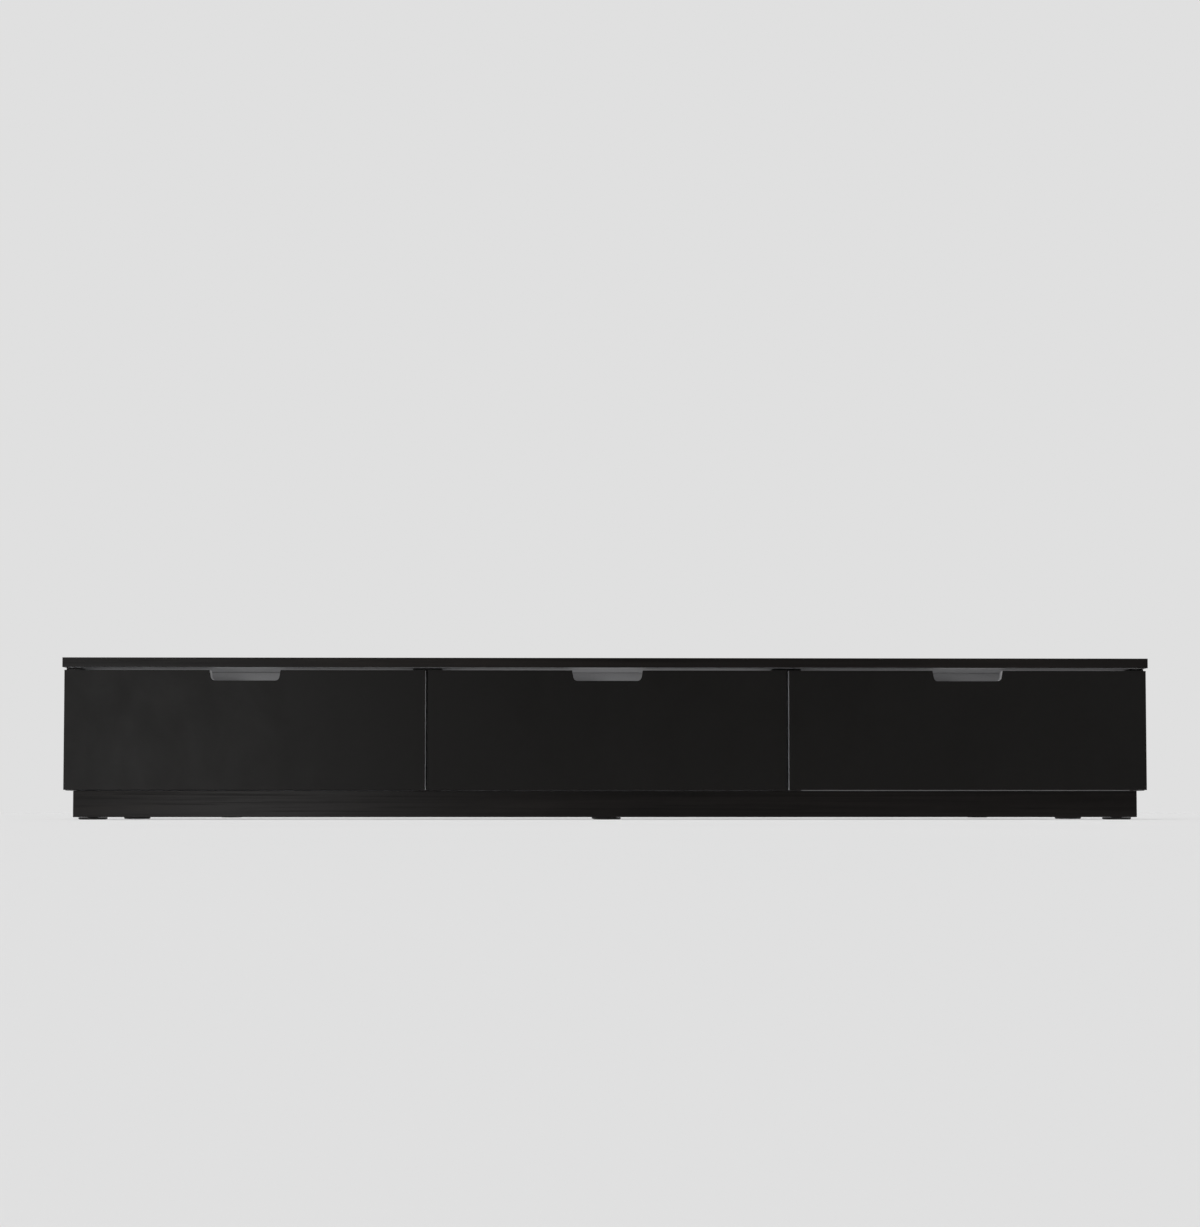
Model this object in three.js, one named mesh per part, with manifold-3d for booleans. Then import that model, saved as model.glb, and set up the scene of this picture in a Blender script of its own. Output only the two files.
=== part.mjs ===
// Long low unit of three drawers: one full-length top panel over three cabinet bays that stand on a
// shared plinth with levelling feet. Each bay holds one drawer on a pair of telescopic slides.
//
// Units are millimetres. +X runs to the right along the unit, the drawer fronts face -Y, and +Z is up.
// The origin is at the middle of the footprint, on the floor.

import * as THREE from "three";
import { mergeVertices } from "three/addons/utils/BufferGeometryUtils.js";
import Module from "manifold-3d";

const wasm = await Module();
wasm.setup();

// ---------------------------------------------------------------- driving dimensions

const LENGTH = 1800;
const DEPTH = 400;
const HEIGHT = 268;
const JOINT_GAP = 0.3; // clearance between two boards that meet

const TOP_THICKNESS = 16;
const SIDE_THICKNESS = 24;
const BOARD_THICKNESS = 16;
const BACK_THICKNESS = 3;
const BACK_INSET = 1; // keeps the nail heads inside the depth of the top
const BACK_END_INSET = 3; // from the ends of the top to the ends of the back panel

const BAYS = ["left", "middle", "right"];
const BAY_INSET = 1; // the outer sides stand this far inside the ends of the top
const BAY_WIDTH = (LENGTH - 2 * BAY_INSET) / BAYS.length;

const FRONT_SETBACK = 2; // from the top panel's front edge to the faces of the drawer fronts
const FRONT_THICKNESS = 16;
const FRONT_BOTTOM = 49.2;
const FRONT_TOP = 247.6;
const FRONT_GAP = 3.8; // between neighbouring fronts
const FRONT_TO_CARCASS = 1;

const GRIP_TOP_WIDTH = 117;
const GRIP_BOTTOM_WIDTH = 110.8;
const GRIP_DEPTH = 17.4;
const GRIP_CORNER_RADIUS = 6.5;

const PLINTH_TOP = 48;
const PLINTH_BOTTOM = 4.1;
const PLINTH_HALF_LENGTH = 887.5;
const PLINTH_FRONT_SETBACK = 24; // from the top panel's front edge
const PLINTH_REAR_FACE = 156;
const BRACE_X = 660;

const RAIL_THICKNESS = 16;
const RAIL_WIDTH = 80;
const RAIL_SETBACK = 102; // leaves room for fingers behind the grips

const DRAWER_BOARD = 12;
const DRAWER_LENGTH = 350;
const DRAWER_BOTTOM = 76;
const DRAWER_TOP = 216;
const DRAWER_PANEL = 3;
const DRAWER_PANEL_HEIGHT = 84;
const GROOVE_DEPTH = 6;
const GROOVE_CLEARANCE = 0.5; // between the panel's edge and the floor of its groove
const CUT_OVERRUN = 1; // how far a cutting box runs past the face it cuts

const SLIDE_SPACE = 13; // between a cabinet side and a drawer side
const SLIDE_LENGTH = 345;
const SLIDE_HEIGHT_ON_SIDE = 120;
const SLIDE_FRONT_SETBACK = 3;
const SLIDE_SHEET = 1.2;
const BEND_RADIUS = 1.8;

const FOOT_X = 862.5;
const FOOT_FRONT_Y = -147.5;
const FOOT_REAR_Y = 127.5;
const FOOT_PAD_RADIUS = 23.5;
const FOOT_PAD_HEIGHT = 3.8;
const FOOT_RIM_INSET = 2; // how far the pad's underside stops short of its rim
const FOOT_RIM_BOTTOM = 1.2;
const FOOT_RIM_BEVEL = 0.8;
const FOOT_NECK_RADIUS = 6;
const FOOT_SOCKET_RADIUS = 9;
const FOOT_SOCKET_BOTTOM = 14;
const FOOT_SEGMENTS = 40;

// ---------------------------------------------------------------- derived planes

const TOP_UNDERSIDE = HEIGHT - TOP_THICKNESS;
const CARCASS_BOTTOM = PLINTH_TOP + JOINT_GAP;
const CARCASS_TOP = TOP_UNDERSIDE - JOINT_GAP;
const FRONT_FACE = -DEPTH / 2 + FRONT_SETBACK;
const FRONT_REAR = FRONT_FACE + FRONT_THICKNESS;
const CARCASS_FRONT = FRONT_REAR + FRONT_TO_CARCASS;
const BACK_PANEL_REAR = DEPTH / 2 - BACK_INSET;
const BACK_PANEL_FRONT = BACK_PANEL_REAR - BACK_THICKNESS;
const CARCASS_REAR = BACK_PANEL_FRONT - JOINT_GAP;
const PLINTH_FACE = -DEPTH / 2 + PLINTH_FRONT_SETBACK;
const DRAWER_FRONT_END = FRONT_REAR + JOINT_GAP;
const DRAWER_REAR_END = DRAWER_FRONT_END + DRAWER_LENGTH;
const DRAWER_HALF_WIDTH = (BAY_WIDTH - 2 * SIDE_THICKNESS) / 2 - SLIDE_SPACE;
const DRAWER_INNER_HALF_WIDTH = DRAWER_HALF_WIDTH - DRAWER_BOARD;
const PANEL_HALF_WIDTH = DRAWER_INNER_HALF_WIDTH + GROOVE_DEPTH - GROOVE_CLEARANCE;

// ---------------------------------------------------------------- materials

function material(color, roughness, metalness = 0) {
  return new THREE.MeshStandardMaterial({ color, roughness, metalness });
}

const blackFoil = material(0x262322, 0.5);
const blackFront = material(0x1f1d1c, 0.35);
const greyBoard = material(0x6d6d70, 0.6);
const hardboard = material(0x5a4636, 0.8);
const zincSteel = material(0xa9adb0, 0.35, 0.9);
const blackPlastic = material(0x101010, 0.5);

// ---------------------------------------------------------------- geometry helpers

const unit = new THREE.Group();

function addMesh(name, geometry, surface, position = [0, 0, 0]) {
  const mesh = new THREE.Mesh(geometry, surface.clone());
  mesh.name = name;
  mesh.position.set(...position);
  unit.add(mesh);
}

// A flat board between two opposite corners.
function addBoard(name, surface, low, high) {
  const size = high.map((value, axis) => value - low[axis]);
  const centre = high.map((value, axis) => (value + low[axis]) / 2);
  addMesh(name, new THREE.BoxGeometry(...size), surface, centre);
}

// A shape drawn in X and Z, extruded from front to rear.
function extrudeToRear(shape, front, rear, curveSegments = 8) {
  const options = { depth: rear - front, bevelEnabled: false, curveSegments };
  const geometry = new THREE.ExtrudeGeometry(shape, options);
  geometry.rotateX(Math.PI / 2);
  geometry.translate(0, rear, 0);
  return geometry;
}

function toSolid(geometry) {
  const bare = geometry.clone();
  bare.deleteAttribute("normal");
  bare.deleteAttribute("uv");
  const merged = mergeVertices(bare);
  return new wasm.Manifold(
    new wasm.Mesh({
      numProp: 3,
      vertProperties: merged.attributes.position.array,
      triVerts: new Uint32Array(merged.index.array),
    }),
  );
}

function toGeometry(solid) {
  const mesh = solid.getMesh();
  const geometry = new THREE.BufferGeometry();
  geometry.setAttribute("position", new THREE.BufferAttribute(mesh.vertProperties, 3));
  geometry.setIndex(new THREE.BufferAttribute(mesh.triVerts, 1));
  return geometry;
}

// ---------------------------------------------------------------- cabinet

function addTopPanel() {
  const low = [-LENGTH / 2, -DEPTH / 2, TOP_UNDERSIDE];
  addBoard("top_panel", blackFoil, low, [LENGTH / 2, DEPTH / 2, HEIGHT]);
}

function addBackPanel() {
  const halfLength = LENGTH / 2 - BACK_END_INSET;
  const low = [-halfLength, BACK_PANEL_FRONT, CARCASS_BOTTOM];
  addBoard("back_panel", hardboard, low, [halfLength, BACK_PANEL_REAR, CARCASS_TOP]);
}

// Two side boards, the floor and the front rail of one bay.
function addBayCarcass(bay, centre) {
  const outer = BAY_WIDTH / 2 - JOINT_GAP / 2;
  const inner = BAY_WIDTH / 2 - SIDE_THICKNESS;
  for (const [side, direction] of [["l", -1], ["r", 1]]) {
    const edges = [centre + direction * outer, centre + direction * inner];
    const low = [Math.min(...edges), CARCASS_FRONT, CARCASS_BOTTOM];
    const high = [Math.max(...edges), CARCASS_REAR, CARCASS_TOP];
    addBoard(`${bay}_bay_side_${side}`, blackFoil, low, high);
  }
  const between = inner - JOINT_GAP;
  addBoard(
    `${bay}_bay_floor`,
    greyBoard,
    [centre - between, CARCASS_FRONT, CARCASS_BOTTOM],
    [centre + between, CARCASS_REAR, CARCASS_BOTTOM + BOARD_THICKNESS],
  );
  const railFront = -DEPTH / 2 + RAIL_SETBACK;
  addBoard(
    `${bay}_bay_rail`,
    greyBoard,
    [centre - between, railFront, CARCASS_TOP - RAIL_THICKNESS],
    [centre + between, railFront + RAIL_WIDTH, CARCASS_TOP],
  );
}

// ---------------------------------------------------------------- plinth and feet

function addPlinth() {
  const ends = PLINTH_HALF_LENGTH;
  const frontRear = PLINTH_FACE + BOARD_THICKNESS;
  const rearFront = PLINTH_REAR_FACE - BOARD_THICKNESS;
  addBoard(
    "plinth_front",
    blackFoil,
    [-ends, PLINTH_FACE, PLINTH_BOTTOM],
    [ends, frontRear, PLINTH_TOP],
  );
  addBoard(
    "plinth_rear",
    blackFoil,
    [-ends, rearFront, PLINTH_BOTTOM],
    [ends, PLINTH_REAR_FACE, PLINTH_TOP],
  );
  for (const [side, direction] of [["l", -1], ["r", 1]]) {
    const endCentre = direction * (ends - BOARD_THICKNESS / 2);
    const crossBoards = { plinth_end: endCentre, plinth_brace: direction * BRACE_X };
    for (const [name, centre] of Object.entries(crossBoards)) {
      addBoard(
        `${name}_${side}`,
        blackFoil,
        [centre - BOARD_THICKNESS / 2, frontRear + JOINT_GAP, PLINTH_BOTTOM],
        [centre + BOARD_THICKNESS / 2, rearFront - JOINT_GAP, PLINTH_TOP],
      );
    }
  }
}

// A levelling foot: a flat pad with a bevelled rim, a neck, and the socket fixed under the bay floor.
function footGeometry() {
  const outline = [
    [0, 0],
    [FOOT_PAD_RADIUS - FOOT_RIM_INSET, 0],
    [FOOT_PAD_RADIUS, FOOT_RIM_BOTTOM],
    [FOOT_PAD_RADIUS, FOOT_PAD_HEIGHT - FOOT_RIM_BEVEL],
    [FOOT_PAD_RADIUS - FOOT_RIM_BEVEL, FOOT_PAD_HEIGHT],
    [FOOT_NECK_RADIUS + 3, FOOT_PAD_HEIGHT],
    [FOOT_NECK_RADIUS + 1, 6],
    [FOOT_NECK_RADIUS, 8],
    [FOOT_NECK_RADIUS, FOOT_SOCKET_BOTTOM],
    [FOOT_SOCKET_RADIUS, FOOT_SOCKET_BOTTOM],
    [FOOT_SOCKET_RADIUS, PLINTH_TOP],
    [0, PLINTH_TOP],
  ];
  const points = outline.map(([radius, height]) => new THREE.Vector2(radius, height));
  return new THREE.LatheGeometry(points, FOOT_SEGMENTS).rotateX(Math.PI / 2);
}

function addFeet() {
  const rows = { front: FOOT_FRONT_Y, rear: FOOT_REAR_Y };
  const columns = { l: -FOOT_X, m: 0, r: FOOT_X };
  for (const [row, y] of Object.entries(rows)) {
    for (const [column, x] of Object.entries(columns)) {
      addMesh(`foot_${row}_${column}`, footGeometry(), blackPlastic, [x, y, 0]);
    }
  }
}

// ---------------------------------------------------------------- drawers

// The front board's outline, with a tapered grip cut into the middle of its top edge.
function frontOutline() {
  const half = (BAY_WIDTH - FRONT_GAP) / 2;
  const gripTop = GRIP_TOP_WIDTH / 2;
  const gripBottom = GRIP_BOTTOM_WIDTH / 2;
  const gripFloor = FRONT_TOP - GRIP_DEPTH;
  const slope = (gripTop - gripBottom) / GRIP_DEPTH;
  const lift = GRIP_CORNER_RADIUS;
  const outline = new THREE.Shape();
  outline.moveTo(-half, FRONT_BOTTOM);
  outline.lineTo(half, FRONT_BOTTOM);
  outline.lineTo(half, FRONT_TOP);
  outline.lineTo(gripTop, FRONT_TOP);
  outline.lineTo(gripBottom + slope * lift, gripFloor + lift);
  outline.quadraticCurveTo(gripBottom, gripFloor, gripBottom - lift, gripFloor);
  outline.lineTo(lift - gripBottom, gripFloor);
  outline.quadraticCurveTo(-gripBottom, gripFloor, -gripBottom - slope * lift, gripFloor + lift);
  outline.lineTo(-gripTop, FRONT_TOP);
  outline.lineTo(-half, FRONT_TOP);
  outline.closePath();
  return outline;
}

// The groove that takes the drawer's bottom panel, as a box to cut away.
function grooveBox(low, high) {
  const size = high.map((value, axis) => value - low[axis]);
  const geometry = new THREE.BoxGeometry(...size);
  geometry.translate(...high.map((value, axis) => (value + low[axis]) / 2));
  return toSolid(geometry);
}

const GROOVE_LOW = DRAWER_PANEL_HEIGHT - JOINT_GAP;
const GROOVE_HIGH = DRAWER_PANEL_HEIGHT + DRAWER_PANEL + JOINT_GAP;

function frontGeometry() {
  const board = toSolid(extrudeToRear(frontOutline(), FRONT_FACE, FRONT_REAR));
  const reach = DRAWER_INNER_HALF_WIDTH + GROOVE_DEPTH;
  const groove = grooveBox(
    [-reach, FRONT_REAR - GROOVE_DEPTH, GROOVE_LOW],
    [reach, FRONT_REAR + CUT_OVERRUN, GROOVE_HIGH],
  );
  return toGeometry(board.subtract(groove));
}

// The outline of a drawer side, seen from the front, with the groove in its inner face.
function drawerSideOutline(direction) {
  const inner = direction * DRAWER_INNER_HALF_WIDTH;
  const outer = direction * DRAWER_HALF_WIDTH;
  const grooveFloor = direction * (DRAWER_INNER_HALF_WIDTH + GROOVE_DEPTH);
  const outline = new THREE.Shape();
  outline.moveTo(outer, DRAWER_BOTTOM);
  outline.lineTo(outer, DRAWER_TOP);
  outline.lineTo(inner, DRAWER_TOP);
  outline.lineTo(inner, GROOVE_HIGH);
  outline.lineTo(grooveFloor, GROOVE_HIGH);
  outline.lineTo(grooveFloor, GROOVE_LOW);
  outline.lineTo(inner, GROOVE_LOW);
  outline.lineTo(inner, DRAWER_BOTTOM);
  outline.closePath();
  return outline;
}

function addDrawer(bay, centre) {
  const name = `${bay}_drawer`;
  addMesh(`${name}_front`, frontGeometry(), blackFront, [centre, 0, 0]);
  for (const [side, direction] of [["l", -1], ["r", 1]]) {
    const outline = drawerSideOutline(direction);
    const geometry = extrudeToRear(outline, DRAWER_FRONT_END, DRAWER_REAR_END);
    addMesh(`${name}_side_${side}`, geometry, greyBoard, [centre, 0, 0]);
  }
  const inside = DRAWER_INNER_HALF_WIDTH - JOINT_GAP;
  const panelFront = FRONT_REAR - GROOVE_DEPTH + GROOVE_CLEARANCE;
  addBoard(
    `${name}_back`,
    greyBoard,
    [centre - inside, DRAWER_REAR_END - DRAWER_BOARD, GROOVE_HIGH],
    [centre + inside, DRAWER_REAR_END, DRAWER_TOP],
  );
  addBoard(
    `${name}_bottom`,
    greyBoard,
    [centre - PANEL_HALF_WIDTH, panelFront, DRAWER_PANEL_HEIGHT],
    [centre + PANEL_HALF_WIDTH, DRAWER_REAR_END, DRAWER_PANEL_HEIGHT + DRAWER_PANEL],
  );
}

// ---------------------------------------------------------------- telescopic slides

// The three nested channels of a slide. Each web stands a distance from the cabinet side, and its
// flanges run towards the drawer, or back towards the cabinet where reach is negative.
const SLIDE_CHANNELS = {
  outer: { web: JOINT_GAP, reach: 9.5, height: 45 },
  middle: { web: 2.7, reach: 7.9, height: 37 },
  inner: { web: SLIDE_SPACE - JOINT_GAP, reach: -7.6, height: 29 },
};

// A channel bent from sheet, open towards +X, with its web at x = 0 and its middle at z = 0.
function channelOutline(reach, height) {
  const half = height / 2;
  const bend = BEND_RADIUS;
  const inside = half - SLIDE_SHEET;
  const innerBend = bend - SLIDE_SHEET;
  const outline = new THREE.Shape();
  outline.moveTo(reach, -half);
  outline.lineTo(reach, -inside);
  outline.lineTo(bend, -inside);
  outline.absarc(bend, -inside + innerBend, innerBend, -Math.PI / 2, Math.PI, true);
  outline.lineTo(SLIDE_SHEET, inside - innerBend);
  outline.absarc(bend, inside - innerBend, innerBend, Math.PI, Math.PI / 2, true);
  outline.lineTo(reach, inside);
  outline.lineTo(reach, half);
  outline.lineTo(bend, half);
  outline.absarc(bend, half - bend, bend, Math.PI / 2, Math.PI, false);
  outline.lineTo(0, -half + bend);
  outline.absarc(bend, -half + bend, bend, Math.PI, 1.5 * Math.PI, false);
  outline.closePath();
  return outline;
}

function addSlides(bay, centre) {
  const front = CARCASS_FRONT + SLIDE_FRONT_SETBACK;
  const cabinetSide = BAY_WIDTH / 2 - SIDE_THICKNESS;
  for (const [side, direction] of [["l", -1], ["r", 1]]) {
    for (const [channel, { web, reach, height }] of Object.entries(SLIDE_CHANNELS)) {
      const outline = channelOutline(Math.abs(reach), height);
      const geometry = extrudeToRear(outline, 0, SLIDE_LENGTH, 4);
      // The outline opens towards +X: turn it half round where its flanges run the other way.
      if (direction * reach > 0) {
        geometry.rotateZ(Math.PI);
        geometry.translate(0, SLIDE_LENGTH, 0);
      }
      const x = centre + direction * (cabinetSide - web);
      const name = `${bay}_slide_${channel}_${side}`;
      addMesh(name, geometry, zincSteel, [x, front, SLIDE_HEIGHT_ON_SIDE]);
    }
  }
}

// ---------------------------------------------------------------- assembly

addTopPanel();
addBackPanel();
addPlinth();
addFeet();
BAYS.forEach((bay, index) => {
  const centre = (index - (BAYS.length - 1) / 2) * BAY_WIDTH;
  addBayCarcass(bay, centre);
  addDrawer(bay, centre);
  addSlides(bay, centre);
});

export default unit;
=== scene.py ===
"""Looks of the low three-drawer unit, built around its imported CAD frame, in metres."""

import math
from collections import namedtuple

import bmesh
import bpy
from mathutils import Matrix, Vector
from mathutils.geometry import tessellate_polygon


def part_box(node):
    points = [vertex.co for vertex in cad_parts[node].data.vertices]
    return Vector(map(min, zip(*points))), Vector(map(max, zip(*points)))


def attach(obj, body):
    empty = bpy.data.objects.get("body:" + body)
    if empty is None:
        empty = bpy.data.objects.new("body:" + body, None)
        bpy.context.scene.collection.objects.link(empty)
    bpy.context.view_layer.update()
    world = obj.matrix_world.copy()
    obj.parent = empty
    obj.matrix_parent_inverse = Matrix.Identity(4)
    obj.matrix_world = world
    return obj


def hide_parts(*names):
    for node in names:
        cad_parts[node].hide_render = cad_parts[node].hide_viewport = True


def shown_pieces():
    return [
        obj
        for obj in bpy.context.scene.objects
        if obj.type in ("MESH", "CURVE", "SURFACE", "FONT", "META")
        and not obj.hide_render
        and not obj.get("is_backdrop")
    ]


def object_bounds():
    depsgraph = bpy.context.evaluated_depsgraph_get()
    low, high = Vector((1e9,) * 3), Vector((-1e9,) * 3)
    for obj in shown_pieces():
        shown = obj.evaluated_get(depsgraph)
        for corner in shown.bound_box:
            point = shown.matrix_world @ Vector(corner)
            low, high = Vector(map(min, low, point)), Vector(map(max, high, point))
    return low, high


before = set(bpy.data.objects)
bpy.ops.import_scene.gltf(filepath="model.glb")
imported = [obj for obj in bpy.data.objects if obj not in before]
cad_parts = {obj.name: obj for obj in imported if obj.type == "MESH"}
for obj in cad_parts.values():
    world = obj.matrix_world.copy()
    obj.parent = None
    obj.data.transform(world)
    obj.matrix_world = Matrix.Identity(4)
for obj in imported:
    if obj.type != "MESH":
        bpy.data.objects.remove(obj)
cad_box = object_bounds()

MM = 0.001
BAYS = ("left", "middle", "right")
SIDES = {"l": -1, "r": 1}  # which way each side lies along X

# ---------------------------------------------------------------- material graphs


class Graph:
    """A material's node tree, with a short call for each kind of node that is used."""

    def __init__(self, name):
        self.material = bpy.data.materials.new(name)
        self.material.use_nodes = True
        self.tree = self.material.node_tree
        self.tree.nodes.clear()
        self.shader = self.tree.nodes.new("ShaderNodeBsdfPrincipled")
        output = self.tree.nodes.new("ShaderNodeOutputMaterial")
        self.tree.links.new(self.shader.outputs[0], output.inputs["Surface"])
        self.coords = self.tree.nodes.new("ShaderNodeTexCoord").outputs["Object"]

    def put(self, value, socket):
        """Links an output to a socket, or sets the socket to a plain value."""
        if isinstance(value, bpy.types.NodeSocket):
            self.tree.links.new(value, socket)
        else:
            socket.default_value = value

    def noise(self, scale, detail=4.0, stretch=(1, 1, 1), roughness=0.5, distortion=0.0):
        mapping = self.tree.nodes.new("ShaderNodeMapping")
        mapping.inputs["Scale"].default_value = stretch
        self.tree.links.new(self.coords, mapping.inputs["Vector"])
        node = self.tree.nodes.new("ShaderNodeTexNoise")
        node.inputs["Scale"].default_value = scale
        node.inputs["Detail"].default_value = detail
        node.inputs["Roughness"].default_value = roughness
        node.inputs["Distortion"].default_value = distortion
        self.tree.links.new(mapping.outputs[0], node.inputs["Vector"])
        return node.outputs["Fac"]

    def cells(self, scale, stretch=(1, 1, 1), output="Distance"):
        mapping = self.tree.nodes.new("ShaderNodeMapping")
        mapping.inputs["Scale"].default_value = stretch
        self.tree.links.new(self.coords, mapping.inputs["Vector"])
        node = self.tree.nodes.new("ShaderNodeTexVoronoi")
        node.inputs["Scale"].default_value = scale
        self.tree.links.new(mapping.outputs[0], node.inputs["Vector"])
        return node.outputs[output]

    def remap(self, value, low, high, to_low=0.0, to_high=1.0):
        node = self.tree.nodes.new("ShaderNodeMapRange")
        limits = {"From Min": low, "From Max": high, "To Min": to_low, "To Max": to_high}
        for name, limit in limits.items():
            node.inputs[name].default_value = limit
        self.put(value, node.inputs["Value"])
        return node.outputs["Result"]

    def maths(self, operation, a, b=0.0):
        node = self.tree.nodes.new("ShaderNodeMath")
        node.operation = operation
        self.put(a, node.inputs[0])
        self.put(b, node.inputs[1])
        return node.outputs[0]

    def mix(self, factor, a, b):
        """Mixes two colours, given as outputs or as (r, g, b)."""
        node = self.tree.nodes.new("ShaderNodeMix")
        node.data_type = "RGBA"
        self.put(factor, node.inputs[0])
        for value, socket in ((a, node.inputs[6]), (b, node.inputs[7])):
            self.put(value if isinstance(value, bpy.types.NodeSocket) else (*value, 1.0), socket)
        return node.outputs[2]

    def normal_part(self, axis, absolute=True):
        """How far a face looks along an axis of its own object, as a number."""
        coords = self.tree.nodes.new("ShaderNodeTexCoord")
        parts = self.tree.nodes.new("ShaderNodeSeparateXYZ")
        self.tree.links.new(coords.outputs["Normal"], parts.inputs[0])
        part = parts.outputs["XYZ".index(axis)]
        return self.maths("ABSOLUTE", part) if absolute else part

    def distance_from_middle(self, axis):
        """How far a point is from the unit's middle plane along an axis, in metres."""
        parts = self.tree.nodes.new("ShaderNodeSeparateXYZ")
        self.tree.links.new(self.coords, parts.inputs[0])
        return self.maths("ABSOLUTE", parts.outputs["XYZ".index(axis)])

    def bump(self, height, strength, distance=0.0002):
        node = self.tree.nodes.new("ShaderNodeBump")
        node.inputs["Strength"].default_value = strength
        node.inputs["Distance"].default_value = distance
        self.put(height, node.inputs["Height"])
        self.tree.links.new(node.outputs[0], self.shader.inputs["Normal"])

    def finish(self, color, roughness, **plain):
        self.put(color, self.shader.inputs["Base Color"])
        self.put(roughness, self.shader.inputs["Roughness"])
        for name, value in plain.items():
            self.shader.inputs[name.replace("_", " ")].default_value = value
        return self.material


def grain_stretch(axis, along, across):
    """The texture scale that draws a grain out along one axis."""
    return tuple(along if letter == axis else across for letter in "XYZ")


FOIL_DARK = (0.0062, 0.0052, 0.0048)
FOIL_LIGHT = (0.0170, 0.0146, 0.0134)
FOIL_PORE = (0.0024, 0.0020, 0.0019)
FOIL_WRAP = 8 * MM  # the foil goes this far round the ends of the top's underside
FOIL_WRAP_START = cad_box[1].x - FOIL_WRAP
BOARD_GREYS = ((0.37, 0.37, 0.38), (0.43, 0.43, 0.44))  # melamine, also under the top


def foil_material(name, axis, grey_underside=False):
    """Black-brown printed foil: long soft figure with short fine pores along one axis."""
    graph = Graph(name)
    figure = graph.noise(9, 5, grain_stretch(axis, 0.16, 3.2), 0.6, 0.4)
    fibres = graph.noise(60, 3, grain_stretch(axis, 0.05, 5.0), 0.7)
    pores = graph.remap(fibres, 0.52, 0.66)
    wood = graph.mix(graph.remap(figure, 0.35, 0.7), FOIL_DARK, FOIL_LIGHT)
    wood = graph.mix(graph.maths("MULTIPLY", pores, 0.55), wood, FOIL_PORE)
    roughness = graph.remap(graph.maths("ADD", figure, pores), 0.2, 1.6, 0.30, 0.40)
    if grey_underside:
        downwards = graph.normal_part("Z", absolute=False)
        off_middle = graph.distance_from_middle("X")
        inside_ends = graph.remap(off_middle, FOIL_WRAP_START, FOIL_WRAP_START - 1 * MM)
        mask = graph.maths("MULTIPLY", graph.remap(downwards, -0.93, -0.97), inside_ends)
        speckle = graph.remap(graph.noise(900, 2), 0.3, 0.7)
        grey = graph.mix(speckle, *BOARD_GREYS)
        wood = graph.mix(mask, wood, grey)
    graph.bump(graph.maths("SUBTRACT", figure, pores), 0.25, 0.00012)
    return graph.finish(wood, roughness, Specular_IOR_Level=0.13)


LACQUER_COLORS = ((0.0052, 0.0047, 0.0043), (0.0072, 0.0065, 0.0059))
EDGE_BAND_GREYS = ((0.68, 0.68, 0.69), (0.75, 0.75, 0.76))
# painted shade: the edge band's colour where it faces down, standing in for the shade under the
# front
EDGE_BAND_PAINTED_SHADE = (0.06, 0.06, 0.062)


def front_material():
    """Dark lacquer on a front's two faces and a light-grey band round its edges, with painted
    shade on the band's downward face.
    """
    graph = Graph("front_lacquer")
    cloud = graph.noise(3.5, 3)
    peel = graph.noise(420, 2)
    smudge = graph.remap(graph.noise(14, 6, (1, 1, 0.6), 0.65, 0.5), 0.35, 0.75)
    lacquer = graph.mix(cloud, *LACQUER_COLORS)
    band = graph.mix(graph.remap(graph.noise(700, 2), 0.3, 0.7), *EDGE_BAND_GREYS)
    # Painted shade: the band turns dark where it faces down, because the front's underside lies
    # in shade.
    painted_shade_below = graph.remap(graph.normal_part("Z", absolute=False), -0.5, -0.6)
    band = graph.mix(painted_shade_below, band, EDGE_BAND_PAINTED_SHADE)
    facing = graph.remap(graph.normal_part("Y"), 0.15, 0.25)
    color = graph.mix(facing, band, lacquer)
    roughness = graph.remap(smudge, 0, 1, 0.36, 0.44)
    graph.bump(peel, 0.05, 0.00005)
    return graph.finish(color, roughness, Specular_IOR_Level=0.17)


BOARD_CLOUD = (0.34, 0.34, 0.345)
CHIPBOARD_COLORS = ((0.26, 0.17, 0.10), (0.47, 0.35, 0.23))
CHIPBOARD_DARK_CHIP = (0.20, 0.12, 0.07)
# Colours of the bay floors' front edges: near-black is painted shade for the gap under the
# fronts, and grey is painted light falling on the right bay's edge.
PAINTED_SHADE_EDGE = (0.004, 0.004, 0.004)
PAINTED_LIGHT_EDGE = (0.24, 0.24, 0.245)


def board_material(name, cut_axis=None, front_edge=None, specular=0.4):
    """Light-grey melamine board, with bare chipboard on any sawn ends that face cut_axis.

    front_edge is the colour of the band on an edge that faces the front. The bay floors give it
    near-black as painted shade on the left and middle ones, and grey as painted light on the
    right one.
    """
    graph = Graph(name)
    speckle = graph.remap(graph.noise(850, 3), 0.3, 0.7)
    cloud = graph.noise(5, 3)
    grey = graph.mix(speckle, *BOARD_GREYS)
    grey = graph.mix(graph.maths("MULTIPLY", cloud, 0.25), grey, BOARD_CLOUD)
    chips = graph.cells(420, (1, 1, 1), "Color")
    dust = graph.noise(260, 5)
    chipboard = graph.mix(dust, *CHIPBOARD_COLORS)
    chipboard = graph.mix(graph.maths("MULTIPLY", chips, 0.5), chipboard, CHIPBOARD_DARK_CHIP)
    sawn = graph.remap(graph.normal_part(cut_axis), 0.6, 0.7) if cut_axis else 0.0
    color = graph.mix(sawn, grey, chipboard)
    roughness = graph.remap(speckle, 0, 1, 0.5, 0.62)
    if front_edge:
        forwards = graph.remap(graph.normal_part("Y", absolute=False), -0.2, -0.3)
        band = graph.mix(speckle, front_edge, tuple(1.2 * part for part in front_edge))
        color = graph.mix(forwards, color, band)
        roughness = graph.maths("ADD", roughness, graph.maths("MULTIPLY", forwards, 0.35))
    graph.bump(graph.maths("ADD", graph.noise(600, 2), sawn), 0.12, 0.00008)
    return graph.finish(color, roughness, Specular_IOR_Level=specular)


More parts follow.
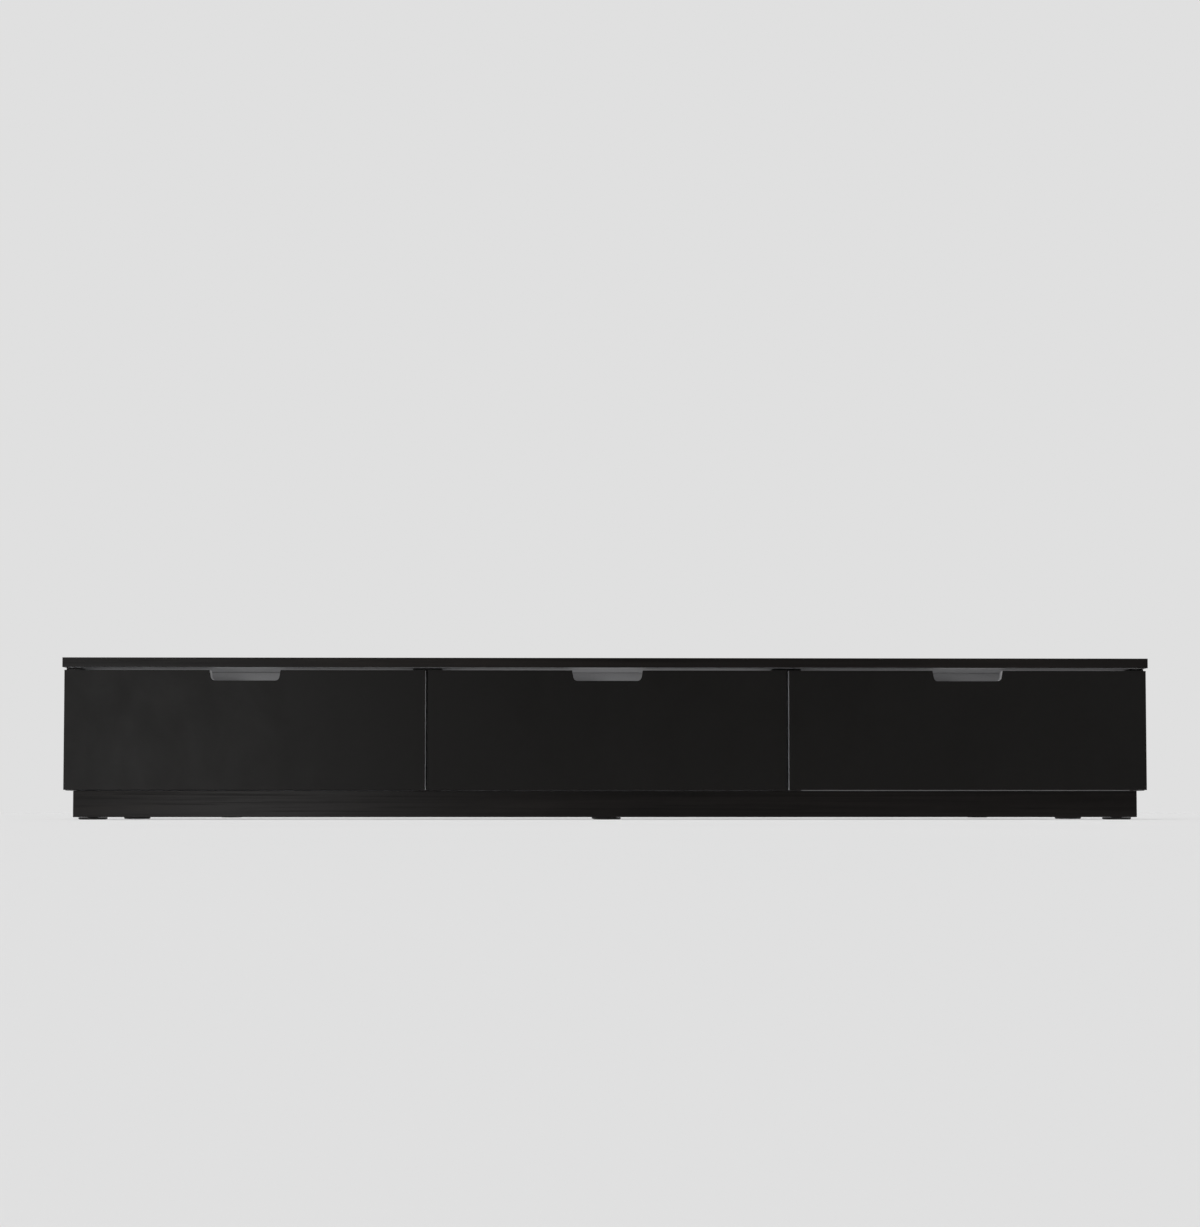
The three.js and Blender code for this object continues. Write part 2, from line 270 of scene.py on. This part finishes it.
HARDBOARD_BROWNS = ((0.085, 0.048, 0.026), (0.19, 0.115, 0.065))
HARDBOARD_CLOUD = (0.10, 0.062, 0.036)
HARDBOARD_PAINT = ((0.36, 0.36, 0.365), (0.44, 0.44, 0.445))


def hardboard_material():
    """Brown pressed-fibre sheet with a wire-screen print, painted pale grey on the inside."""
    graph = Graph("hardboard")
    fibres = graph.noise(180, 8, (1, 1, 1), 0.75, 1.2)
    cloud = graph.noise(4, 3)
    brown = graph.mix(fibres, *HARDBOARD_BROWNS)
    brown = graph.mix(graph.maths("MULTIPLY", cloud, 0.5), brown, HARDBOARD_CLOUD)
    painted = graph.mix(fibres, *HARDBOARD_PAINT)
    inside = graph.remap(graph.normal_part("Y", absolute=False), -0.4, -0.5)
    color = graph.mix(inside, brown, painted)
    screen = graph.cells(620)
    graph.bump(graph.maths("ADD", screen, fibres), 0.35, 0.00015)
    return graph.finish(color, graph.remap(fibres, 0.3, 0.7, 0.62, 0.82), Specular_IOR_Level=0.3)


ZINC_GREYS = ((0.46, 0.47, 0.49), (0.66, 0.67, 0.68))
ZINC_SPANGLE = (0.52, 0.54, 0.60)


def zinc_material():
    """Bright zinc plate, with faint drawing lines along the slide and soft spangles."""
    graph = Graph("zinc_plate")
    lines = graph.noise(140, 4, (6, 0.08, 6), 0.6)
    spangle = graph.cells(160, (1, 0.5, 1), "Color")
    color = graph.mix(lines, *ZINC_GREYS)
    color = graph.mix(graph.maths("MULTIPLY", spangle, 0.25), color, ZINC_SPANGLE)
    graph.bump(lines, 0.08, 0.00005)
    return graph.finish(color, graph.remap(lines, 0.3, 0.7, 0.26, 0.4), Metallic=1.0)


PLASTIC_BLACKS = ((0.008, 0.008, 0.008), (0.02, 0.02, 0.02))


def plastic_material():
    """Moulded black plastic with a fine spark-eroded texture."""
    graph = Graph("black_plastic")
    texture = graph.noise(1100, 3)
    scuffs = graph.remap(graph.noise(70, 6, (1, 1, 1), 0.7), 0.5, 0.75)
    color = graph.mix(scuffs, *PLASTIC_BLACKS)
    graph.bump(texture, 0.2, 0.00006)
    return graph.finish(color, graph.remap(scuffs, 0, 1, 0.42, 0.6))


top_foil = foil_material("top_foil", "X", grey_underside=True)
plinth_foil = foil_material("plinth_foil", "X")
end_foil = foil_material("plinth_end_foil", "Y")
side_foil = foil_material("side_foil", "Z")
lacquer = front_material()
bay_board = board_material("bay_board")
# Lit and shaded copies of one board. The near-black front edge, with no specular, paints shade
# under the left and middle fronts. The grey edge paints light under the right one.
painted_shade_edge_board = board_material("painted_shade_edge_board", front_edge=PAINTED_SHADE_EDGE, specular=0.0)
painted_light_edge_board = board_material("painted_light_edge_board", front_edge=PAINTED_LIGHT_EDGE, specular=0.1)
drawer_side_board = board_material("drawer_side_board", cut_axis="Y")
hardboard = hardboard_material()
zinc = zinc_material()
plastic = plastic_material()

# ---------------------------------------------------------------- CAD nodes: finishes and edges


def smooth_shading_group():
    """A modifier group that shades all faces smooth, so that rounded edges blend."""
    tree = bpy.data.node_groups.new("shade_smooth", "GeometryNodeTree")
    tree.interface.new_socket("Geometry", in_out="INPUT", socket_type="NodeSocketGeometry")
    tree.interface.new_socket("Geometry", in_out="OUTPUT", socket_type="NodeSocketGeometry")
    source = tree.nodes.new("NodeGroupInput")
    smooth = tree.nodes.new("GeometryNodeSetShadeSmooth")
    result = tree.nodes.new("NodeGroupOutput")
    tree.links.new(source.outputs[0], smooth.inputs["Geometry"])
    tree.links.new(smooth.outputs[0], result.inputs[0])
    return tree


shade_smooth = smooth_shading_group()


WELD_DISTANCE = 0.00001
SHARP_ANGLE = math.radians(35)  # edges that turn more than this are rounded


def round_edges(piece, width, segments=2):
    """Rounds a piece's sharp edges with modifiers and leaves its own mesh as it is."""
    weld = piece.modifiers.new("weld", "WELD")
    weld.merge_threshold = WELD_DISTANCE
    bevel = piece.modifiers.new("bevel", "BEVEL")
    bevel.width = width
    bevel.segments = segments
    bevel.limit_method = "ANGLE"
    bevel.angle_limit = SHARP_ANGLE
    piece.modifiers.new("smooth", "NODES").node_group = shade_smooth
    piece.modifiers.new("normals", "WEIGHTED_NORMAL").keep_sharp = True


FINE = 3  # bevel segments for edges that are seen close
# widths of the rounded edges
TOP_EDGE = 0.4 * MM
BACK_PANEL_EDGE = 0.3 * MM
FACE_BOARD_EDGE = 0.6 * MM  # plinth's long boards and bay sides
PLINTH_CROSS_EDGE = 0.5 * MM
BAY_FLOOR_EDGE = 0.4 * MM
FRONT_EDGE = 0.35 * MM
DRAWER_BOX_EDGE = 1.0 * MM


def dress(node, material, edge=None, segments=2):
    """Gives a CAD node its finish and, if edge is a width, rounded edges."""
    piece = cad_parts[node]
    piece.data.materials.clear()
    piece.data.materials.append(material)
    if edge:
        round_edges(piece, edge, segments)


def dress_cabinet():
    dress("top_panel", top_foil, TOP_EDGE, FINE)
    dress("back_panel", hardboard, BACK_PANEL_EDGE)
    for node in ("plinth_front", "plinth_rear"):
        dress(node, plinth_foil, FACE_BOARD_EDGE, FINE)
    for side in SIDES:
        dress(f"plinth_end_{side}", end_foil, PLINTH_CROSS_EDGE)
        dress(f"plinth_brace_{side}", end_foil, PLINTH_CROSS_EDGE)
    for bay in BAYS:
        # Painted light on the right floor's front edge, painted shade on the other two.
        floor_board = painted_light_edge_board if bay == "right" else painted_shade_edge_board
        dress(f"{bay}_bay_floor", floor_board, BAY_FLOOR_EDGE)
        dress(f"{bay}_bay_rail", bay_board)
        for side in SIDES:
            dress(f"{bay}_bay_side_{side}", side_foil, FACE_BOARD_EDGE, FINE)


def dress_drawers():
    for bay in BAYS:
        dress(f"{bay}_drawer_front", lacquer, FRONT_EDGE, FINE)
        dress(f"{bay}_drawer_back", bay_board, DRAWER_BOX_EDGE, FINE)
        dress(f"{bay}_drawer_bottom", bay_board)
        for side in SIDES:
            dress(f"{bay}_drawer_side_{side}", drawer_side_board, DRAWER_BOX_EDGE, FINE)
            for channel in ("outer", "middle", "inner"):
                dress(f"{bay}_slide_{channel}_{side}", zinc)


dress_cabinet()
dress_drawers()

# ---------------------------------------------------------------- mesh builders for hardware


def placed(origin, direction):
    """A matrix that puts a local +Z at origin, pointing in a direction."""
    turn = Vector(direction).to_track_quat("Z", "Y").to_matrix().to_4x4()
    return Matrix.Translation(origin) @ turn


def add_lathe(mesh, profile, place, segments=32):
    """Revolves (radius, height) points round local Z. A point of no radius closes the end."""
    rings = []
    for radius, height in profile:
        count = segments if radius > 0 else 1
        ring = []
        for step in range(count):
            angle = 2 * math.pi * step / segments
            point = Vector((radius * math.cos(angle), radius * math.sin(angle), height))
            ring.append(mesh.verts.new(place @ point))
        rings.append(ring)
    for low, high in zip(rings, rings[1:]):
        for step in range(segments):
            after = (step + 1) % segments
            if len(low) == 1:
                mesh.faces.new((low[0], high[after], high[step]))
            elif len(high) == 1:
                mesh.faces.new((low[step], low[after], high[0]))
            else:
                mesh.faces.new((low[step], low[after], high[after], high[step]))


def cross_outline(reach, width):
    """The twelve corners of a plus sign, counter-clockwise."""
    half = width / 2
    corners = []
    for quarter in range(4):
        turn = Matrix.Rotation(quarter * math.pi / 2, 2)
        for point in ((reach, -half), (reach, half), (half, half)):
            corners.append(turn @ Vector(point))
    return corners


Head = namedtuple("Head", "radius height rim cross_reach cross_width cross_depth segments")
SLIDE_SCREW = Head(3.4 * MM, 1.5 * MM, 0.5 * MM, 2.0 * MM, 0.8 * MM, 1.0 * MM, 32)
DRAWER_CAM = Head(7.5 * MM, 0.8 * MM, 0.3 * MM, 3.6 * MM, 1.5 * MM, 0.7 * MM, 40)
DRAWER_SCREW = Head(4.5 * MM, 0.8 * MM, 0.3 * MM, 2.2 * MM, 0.9 * MM, 0.7 * MM, 32)
SEAT_SINK = 0.2 * MM  # how far heads and covers are sunk into their board


def add_recessed_head(mesh, place, head):
    """A round head, closed underneath, with a cross-shaped recess sunk in its top."""
    radius, height, rim, reach, width, depth, segments = head
    bands = (
        (radius * 0.98, 0.0), (radius, height * 0.2),
        (radius, height - rim), (radius - rim, height),
    )
    rings = []
    for band_radius, level in bands:
        ring = []
        for step in range(segments):
            angle = 2 * math.pi * step / segments
            point = (band_radius * math.cos(angle), band_radius * math.sin(angle), level)
            ring.append(mesh.verts.new(place @ Vector(point)))
        rings.append(ring)
    for low, high in zip(rings, rings[1:]):
        for step in range(segments):
            after = (step + 1) % segments
            mesh.faces.new((low[step], low[after], high[after], high[step]))
    mesh.faces.new(list(reversed(rings[0])))
    outline = cross_outline(reach, width)
    mouth = [mesh.verts.new(place @ Vector((*point, height))) for point in outline]
    floor = [Vector((*(point * 0.8), height - depth)) for point in outline]
    bottom = [mesh.verts.new(place @ point) for point in floor]
    top_ring = rings[-1]
    outer = [(place.inverted() @ vertex.co).to_2d().to_3d() for vertex in top_ring]
    inner = [point.to_3d() for point in outline]
    corners = top_ring + mouth
    last = segments + len(corners) - 1  # turns the reversed hole's numbers back
    for triangle in tessellate_polygon([outer, list(reversed(inner))]):
        mesh.faces.new([corners[i if i < segments else last - i] for i in triangle])
    for step in range(len(mouth)):
        after = (step + 1) % len(mouth)
        mesh.faces.new((mouth[step], mouth[after], bottom[after], bottom[step]))
    mesh.faces.new(bottom)


def add_ball(mesh, centre, radius):
    place = Matrix.Translation(centre)
    bmesh.ops.create_icosphere(mesh, subdivisions=2, radius=radius, matrix=place)


def add_prism(mesh, outline, start, end):
    """Extrudes a closed outline of (x, z) points along Y between two places."""
    near = [mesh.verts.new((x, start, z)) for x, z in outline]
    far = [mesh.verts.new((x, end, z)) for x, z in outline]
    for step in range(len(outline)):
        after = (step + 1) % len(outline)
        mesh.faces.new((near[step], near[after], far[after], far[step]))
    mesh.faces.new(list(reversed(near)))
    mesh.faces.new(far)


def finish_piece(name, mesh, material, body, smooth_angle=30):
    """Turns a bmesh into an object that rides on a body, smooth except at its sharp edges."""
    bmesh.ops.recalc_face_normals(mesh, faces=mesh.faces)
    for face in mesh.faces:
        face.smooth = True
    for edge in mesh.edges:
        edge.smooth = edge.calc_face_angle(0.0) < math.radians(smooth_angle)
    data = bpy.data.meshes.new(name)
    mesh.to_mesh(data)
    mesh.free()
    data.materials.append(material)
    piece = bpy.data.objects.new(name, data)
    bpy.context.scene.collection.objects.link(piece)
    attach(piece, body)
    return piece


# ---------------------------------------------------------------- slides: screws and ball cages


def slide_frame(bay, side):
    """The cabinet-side face, height and ends of a slide, and the way to its drawer along X."""
    low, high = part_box(f"{bay}_slide_outer_{side}")
    inward = -SIDES[side]
    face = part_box(f"{bay}_bay_side_{side}")
    wall = face[1].x if inward > 0 else face[0].x
    return wall, inward, (low.z + high.z) / 2, low.y, high.y


SLIDE_SHEET = 1.2 * MM  # thickness of the channels, as in the CAD
SLIDE_SCREW_SHARES = (0.07, 0.30, 0.62, 0.93)  # along the slide


def add_slide_screws(bay):
    """Pan-head screws through the inner channels into the drawer sides."""
    mesh = bmesh.new()
    for side in SIDES:
        _, inward, height, front, rear = slide_frame(bay, side)
        low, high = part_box(f"{bay}_slide_inner_{side}")
        web = high.x if inward > 0 else low.x
        seat = web - inward * SLIDE_SHEET
        for share in SLIDE_SCREW_SHARES:
            place = placed((seat, front + share * (rear - front), height), (-inward, 0, 0))
            add_recessed_head(mesh, place, SLIDE_SCREW)
    finish_piece(f"{bay}_slide_screws", mesh, zinc, f"{bay}_drawer")


Cage = namedtuple("Cage", "web reach flange ball_at body")
CAGES = {
    # Named after the channel that it shares with the middle one. The flange is measured from the
    # slide's middle height, the rest from the bay's side.
    "outer": Cage(1.8 * MM, 9.2 * MM, 19.9 * MM, 6.6 * MM, "cabinet"),
    "inner": Cage(4.2 * MM, 10.2 * MM, 15.9 * MM, 7.6 * MM, "slide_middles"),
}
CAGE_SHEET = 0.5 * MM
CAGE_LENGTH = 90 * MM
CAGE_START = 2 * MM  # behind the slide's front end
BALL_RADIUS = 1.35 * MM
BALL_PITCH = 8 * MM
FIRST_BALL = 0.6  # in pitches from the cage's front end
BALL_SMOOTH_ANGLE = 60  # in degrees


def add_ball_cages(bay):
    """The cages between the channels, each with a row of balls at top and bottom."""
    for cage, (web, reach, flange, ball_at, body) in CAGES.items():
        strips, balls = bmesh.new(), bmesh.new()
        for side in SIDES:
            wall, inward, height, front, _ = slide_frame(bay, side)
            half = flange + CAGE_SHEET / 2
            inside = half - CAGE_SHEET
            outline = [
                (web, -half), (reach, -half), (reach, -inside), (web + CAGE_SHEET, -inside),
                (web + CAGE_SHEET, inside), (reach, inside), (reach, half), (web, half),
            ]
            outline = [(wall + inward * x, height + z) for x, z in outline]
            start = front + CAGE_START
            add_prism(strips, outline, start, start + CAGE_LENGTH)
            for row in (-flange, flange):
                for step in range(int(CAGE_LENGTH / BALL_PITCH)):
                    y = start + (step + FIRST_BALL) * BALL_PITCH
                    add_ball(balls, (wall + inward * ball_at, y, height + row), BALL_RADIUS)
        rides_on = body if body == "cabinet" else f"{bay}_{body}"
        finish_piece(f"{bay}_ball_cage_{cage}", strips, zinc, rides_on)
        ball_name = f"{bay}_balls_{cage}"
        finish_piece(ball_name, balls, zinc, rides_on, BALL_SMOOTH_ANGLE)


for bay in BAYS:
    add_slide_screws(bay)
    add_ball_cages(bay)

# ---------------------------------------------------------------- drawer and bay fittings


CAM_SETBACK = 24 * MM  # behind the front ends of the drawer's sides
CAM_SHARES = (0.22, 0.78)  # of the height of the sides
DRAWER_SCREW_SHARES = (0.16, 0.86)


def add_drawer_cams(bay):
    """Cam locks that pull the front against the sides, set in the inner faces of the sides."""
    mesh = bmesh.new()
    for side in SIDES:
        low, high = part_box(f"{bay}_drawer_side_{side}")
        inner = high.x if side == "l" else low.x
        facing = -SIDES[side]
        for share in CAM_SHARES:
            height = low.z + share * (high.z - low.z)
            centre = (inner - facing * SEAT_SINK, low.y + CAM_SETBACK, height)
            add_recessed_head(mesh, placed(centre, (facing, 0, 0)), DRAWER_CAM)
    finish_piece(f"{bay}_drawer_cams", mesh, zinc, f"{bay}_drawer")


def add_drawer_screws(bay):
    """Joining screws through the sides into the drawer's back."""
    mesh = bmesh.new()
    for side in SIDES:
        low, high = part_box(f"{bay}_drawer_side_{side}")
        outer = low.x if side == "l" else high.x
        facing = SIDES[side]
        back_low, back_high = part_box(f"{bay}_drawer_back")
        middle = (back_low.y + back_high.y) / 2
        for share in DRAWER_SCREW_SHARES:
            centre = (outer - facing * SEAT_SINK, middle, low.z + share * (high.z - low.z))
            add_recessed_head(mesh, placed(centre, (facing, 0, 0)), DRAWER_SCREW)
    finish_piece(f"{bay}_drawer_screws", mesh, zinc, f"{bay}_drawer")


# Profiles to turn are lists of (radius, height).
BUMPER_PROFILE = [
    (0, 0), (4.4 * MM, 0), (4.4 * MM, 0.5 * MM), (3.8 * MM, 0.85 * MM), (0, 0.95 * MM),
]
BUMPER_SINK = 0.1 * MM
BUMPER_DROPS = (24 * MM, 150 * MM)  # below the top ends of the bay's sides


def add_bumpers(bay):
    """Soft round stops on the front edges of the bay's sides, which the closed front meets."""
    mesh = bmesh.new()
    for side in SIDES:
        low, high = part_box(f"{bay}_bay_side_{side}")
        centre_x = (low.x + high.x) / 2
        for drop in BUMPER_DROPS:
            place = placed((centre_x, low.y + BUMPER_SINK, high.z - drop), (0, -1, 0))
            add_lathe(mesh, BUMPER_PROFILE, place)
    finish_piece(f"{bay}_bumpers", mesh, plastic, "cabinet")


FITTING_PROFILE = [
    (0, 0), (8.5 * MM, 0), (8.5 * MM, 0.7 * MM), (7.9 * MM, 1.1 * MM),
    (3.2 * MM, 1.25 * MM), (2.6 * MM, 0.9 * MM), (0, 0.9 * MM),
]
FITTING_END_INSET = 34 * MM
FITTING_TOP_INSET = 34 * MM
FITTING_BOTTOM_INSET = 36 * MM


def add_bay_fittings(bay):
    """Covered cam locks under the top and joining bolts between bays, on the inside faces."""
    mesh = bmesh.new()
    for side in SIDES:
        low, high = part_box(f"{bay}_bay_side_{side}")
        inner = high.x if side == "l" else low.x
        facing = -SIDES[side]
        for y in (low.y + FITTING_END_INSET, high.y - FITTING_END_INSET):
            for z in (high.z - FITTING_TOP_INSET, low.z + FITTING_BOTTOM_INSET):
                place = placed((inner - facing * SEAT_SINK, y, z), (facing, 0, 0))
                add_lathe(mesh, FITTING_PROFILE, place, 40)
    finish_piece(f"{bay}_bay_fittings", mesh, plastic, "cabinet")


for bay in BAYS:
    add_drawer_cams(bay)
    add_drawer_screws(bay)
    add_bumpers(bay)
    add_bay_fittings(bay)

# ---------------------------------------------------------------- back nails, feet and glides


def spread(low, high, count):
    """Evenly spaced places from low to high, both included."""
    return [low + (high - low) * step / (count - 1) for step in range(count)]


NAIL_PROFILE = [
    (0, 0), (3.1 * MM, 0), (3.2 * MM, 0.35 * MM), (2.7 * MM, 0.7 * MM), (0, 0.85 * MM),
]
NAIL_INSET = 9 * MM
NAIL_SINK = 0.1 * MM
NAILS_ALONG = 16  # in the upper and in the lower row
NAILS_DOWN = 3  # between the two rows, at the ends and at each pair of bay sides
NAILS_DOWN_INSET = 45 * MM


def add_back_nails():
    """Flat-headed nails round the back panel and down each pair of bay sides."""
    low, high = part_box("back_panel")
    ends = (low.x + NAIL_INSET, high.x - NAIL_INSET)
    spots = set()
    for x in spread(*ends, NAILS_ALONG):
        for z in (low.z + NAIL_INSET, high.z - NAIL_INSET):
            spots.add((round(x, 5), round(z, 5)))
    joints = [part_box(f"{bay}_bay_side_l")[0].x for bay in BAYS[1:]]
    for x in (*ends, *joints):
        for z in spread(low.z + NAILS_DOWN_INSET, high.z - NAILS_DOWN_INSET, NAILS_DOWN):
            spots.add((round(x, 5), round(z, 5)))
    mesh = bmesh.new()
    for x, z in sorted(spots):
        place = placed((x, high.y - NAIL_SINK, z), (0, 1, 0))
        add_lathe(mesh, NAIL_PROFILE, place, 20)
    finish_piece("back_nails", mesh, zinc, "cabinet")


THREAD_TURNS = 4
THREAD_DEPTH = 0.7 * MM


def thread_profile(low, high, radius):
    """The saw-tooth outline of a threaded stem."""
    pitch = (high - low) / THREAD_TURNS
    points = []
    for turn in range(THREAD_TURNS):
        points.append((radius - THREAD_DEPTH, low + (turn + 0.25) * pitch))
        points.append((radius, low + (turn + 0.75) * pitch))
    return points


def foot_profile(top):
    """A levelling foot from the floor up: bevelled pad, neck, threaded stem, socket."""
    pad_and_neck = [
        (0, 0), (20.5 * MM, 0), (21.5 * MM, 0.15 * MM), (23.3 * MM, 1.2 * MM),
        (23.5 * MM, 1.6 * MM), (23.5 * MM, 2.9 * MM), (23.2 * MM, 3.5 * MM),
        (22.6 * MM, 3.8 * MM), (9.2 * MM, 3.8 * MM), (7.4 * MM, 5.0 * MM),
        (6.2 * MM, 7.4 * MM), (6.0 * MM, 8.0 * MM),
    ]
    stem = thread_profile(8 * MM, 14 * MM, 6.0 * MM)
    socket = [
        (8.4 * MM, 14.0 * MM), (9.0 * MM, 14.6 * MM), (9.0 * MM, 20 * MM), (8.2 * MM, 20.8 * MM),
        (8.2 * MM, top - 3 * MM), (9.0 * MM, top - 1.5 * MM), (9.0 * MM, top), (0, top),
    ]
    return pad_and_neck + stem + socket


def add_feet():
    """Turned levelling feet that stand for the plainer CAD ones."""
    for row in ("front", "rear"):
        for column in "lmr":
            node = f"foot_{row}_{column}"
            low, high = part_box(node)
            centre = Vector(((low.x + high.x) / 2, (low.y + high.y) / 2, low.z))
            mesh = bmesh.new()
            add_lathe(mesh, foot_profile(high.z - low.z), Matrix.Translation(centre), 72)
            foot = finish_piece(f"levelling_{node}", mesh, plastic, "cabinet")
            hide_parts(node)


GLIDE_PROFILE = [
    (0, 0), (16.5 * MM, 0), (17.5 * MM, 0.3 * MM), (16.6 * MM, 1.0 * MM), (0, 1.2 * MM),
]


def add_brace_glides():
    """Small glides nailed under the plinth braces, a little clear of the floor."""
    mesh = bmesh.new()
    for side in SIDES:
        low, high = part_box(f"plinth_brace_{side}")
        centre = Vector(((low.x + high.x) / 2, (low.y + high.y) / 2, low.z))
        add_lathe(mesh, GLIDE_PROFILE, placed(centre, (0, 0, -1)), 48)
    finish_piece("brace_glides", mesh, plastic, "cabinet")


add_back_nails()
add_feet()
add_brace_glides()

# ---------------------------------------------------------------- studio: floor, light, camera


FLOOR_GREYS = ((0.735, 0.735, 0.735), (0.75, 0.75, 0.75))


def stage_material():
    """Plain pale floor paint with the faintest mottle."""
    graph = Graph("studio_floor")
    color = graph.mix(graph.noise(2, 2), *FLOOR_GREYS)
    return graph.finish(color, 0.9, Specular_IOR_Level=0.0)


FLOOR_REACH = 30  # from the unit's middle to the floor's edges


def add_floor():
    mesh = bmesh.new()
    bmesh.ops.create_grid(mesh, x_segments=1, y_segments=1, size=FLOOR_REACH)
    data = bpy.data.meshes.new("studio_floor")
    mesh.to_mesh(data)
    mesh.free()
    data.materials.append(stage_material())
    floor = bpy.data.objects.new("studio_floor", data)
    bpy.context.scene.collection.objects.link(floor)
    floor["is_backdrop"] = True


def add_light(name, kind, place, target, power, linked=None):
    """A light that looks at a target and isn't seen itself. linked limits what it lights."""
    data = bpy.data.lights.new(name, kind)
    data.energy = power
    light = bpy.data.objects.new(name, data)
    light.location = place
    direction = Vector(target) - Vector(place)
    light.rotation_euler = direction.to_track_quat("-Z", "Y").to_euler()
    light.visible_camera = False
    if linked:
        light.light_linking.receiver_collection = linked
    bpy.context.scene.collection.objects.link(light)
    return light


def add_softbox(name, place, target, size, power, linked=None):
    light = add_light(name, "AREA", place, target, power, linked)
    light.data.shape = "RECTANGLE"
    light.data.size, light.data.size_y = size
    return light


ORIGIN = (0, 0, 0)
SKY_FROM = (-0.5, -1.2, 3)
SKY_STRENGTH = 1.75
SKY_ANGLE = math.radians(70)  # the wider, the softer the shadows
FILL_FROM = (0, 0, 3)
FILL_STRENGTH = 1.42


def add_sky_light():
    """Even light from above and a little from the front, with very soft shadows."""
    light = add_light("sky", "SUN", SKY_FROM, ORIGIN, SKY_STRENGTH)
    light.data.angle = SKY_ANGLE


def add_floor_fill():
    """Even light on the floor alone, without shadows, that thins the unit's own shadow."""
    floor_only = bpy.data.collections.new("floor_only")
    floor_only.objects.link(bpy.data.objects["studio_floor"])
    light = add_light("floor_fill", "SUN", FILL_FROM, ORIGIN, FILL_STRENGTH, floor_only)
    light.data.use_shadow = False


def piece_group(name, belongs):
    """The pieces of the unit whose names pass a test, for lights that leave the rest alone."""
    group = bpy.data.collections.new(name)
    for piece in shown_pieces():
        if belongs(piece.name):
            group.objects.link(piece)
    return group


WORLD_SEEN = (0.745, 0.745, 0.745, 1)
WORLD_SOURCE = (0.04, 0.04, 0.041, 1)


def add_world():
    """An even pale surround: bright where it is looked at, dimmer as a source of light."""
    world = bpy.data.worlds.new("studio")
    world.use_nodes = True
    tree = world.node_tree
    tree.nodes.clear()
    rays = tree.nodes.new("ShaderNodeLightPath")
    seen = tree.nodes.new("ShaderNodeBackground")
    seen.inputs["Color"].default_value = WORLD_SEEN
    source = tree.nodes.new("ShaderNodeBackground")
    source.inputs["Color"].default_value = WORLD_SOURCE
    mix = tree.nodes.new("ShaderNodeMixShader")
    output = tree.nodes.new("ShaderNodeOutputWorld")
    tree.links.new(rays.outputs["Is Camera Ray"], mix.inputs[0])
    tree.links.new(source.outputs[0], mix.inputs[1])
    tree.links.new(seen.outputs[0], mix.inputs[2])
    tree.links.new(mix.outputs[0], output.inputs["Surface"])
    bpy.context.scene.world = world


GLOW_POWERS = {"left": 0.042, "middle": 0.039, "right": 0.028}
GLOW_DIRECTION = Vector((0, 0.3, 1))  # up, and a little towards the rail
GLOW_SIZE = (0.549, 0.07)
GLOW_SETBACK = 40 * MM  # behind the drawer's front
GLOW_RISE = 6 * MM  # above the drawer's sides


def add_bay_lights():
    """A low glow under the top of each bay, so that its pale underside reads through the gap."""
    for bay, power in GLOW_POWERS.items():
        low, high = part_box(f"{bay}_drawer_front")
        drawer_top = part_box(f"{bay}_drawer_side_l")[1].z
        middle = (low.x + high.x) / 2
        place = Vector((middle, high.y + GLOW_SETBACK, drawer_top + GLOW_RISE))
        target = place + GLOW_DIRECTION
        light = add_softbox(f"{bay}_bay_glow", place, target, GLOW_SIZE, power)
        light.visible_glossy = False


CAMERA_PLACE = (-0.0477, -2.9, 0.012)
CAMERA_LENS = 47.9
CAMERA_SENSOR = 36  # this and the lens in millimetres
CAMERA_SHIFT = 0.1203
CAMERA_CLIP_START = 0.01
CAMERA_YAW = math.radians(-0.751)  # a little to the right
CAMERA_PITCH = math.radians(1.8)  # a little upwards


def add_camera():
    """The photo's low viewpoint, close to the floor and a little left of the middle."""
    data = bpy.data.cameras.new("camera")
    data.lens = CAMERA_LENS
    data.sensor_width = CAMERA_SENSOR
    data.shift_y = CAMERA_SHIFT
    data.clip_start = CAMERA_CLIP_START
    camera = bpy.data.objects.new("camera", data)
    camera.location = CAMERA_PLACE
    camera.rotation_euler = (math.pi / 2 + CAMERA_PITCH, 0, CAMERA_YAW)
    bpy.context.scene.collection.objects.link(camera)
    bpy.context.scene.camera = camera


add_floor()
add_world()
plinth_pieces = piece_group("plinth_pieces", lambda name: name.startswith("plinth"))
upper_pieces = piece_group("upper_pieces", lambda name: not name.startswith("plinth"))
SOFTBOXES = {
    # name: place, target, size, power, the pieces that it lights
    "left_softbox": ((-2.1, -4.4, 0.3), (-0.5, 0, 0.1), (1.5, 0.5), 21, upper_pieces),
    "plinth_softbox": ((-1.5, -4.4, 0.16), (-0.5, 0, 0.05), (0.5, 0.28), 17, plinth_pieces),
    "right_softbox": ((2.6, -4.2, 1.7), (0.5, 0, 0.15), (1.2, 1.0), 8, upper_pieces),
    "rear_softbox": ((0.6, 3.4, 2.1), (0, 0, 0.2), (3.2, 1.6), 70, upper_pieces),
}
add_sky_light()
add_floor_fill()
for name, settings in SOFTBOXES.items():
    add_softbox(name, *settings)
add_bay_lights()
add_camera()
bpy.context.scene.view_settings.view_transform = "Standard"
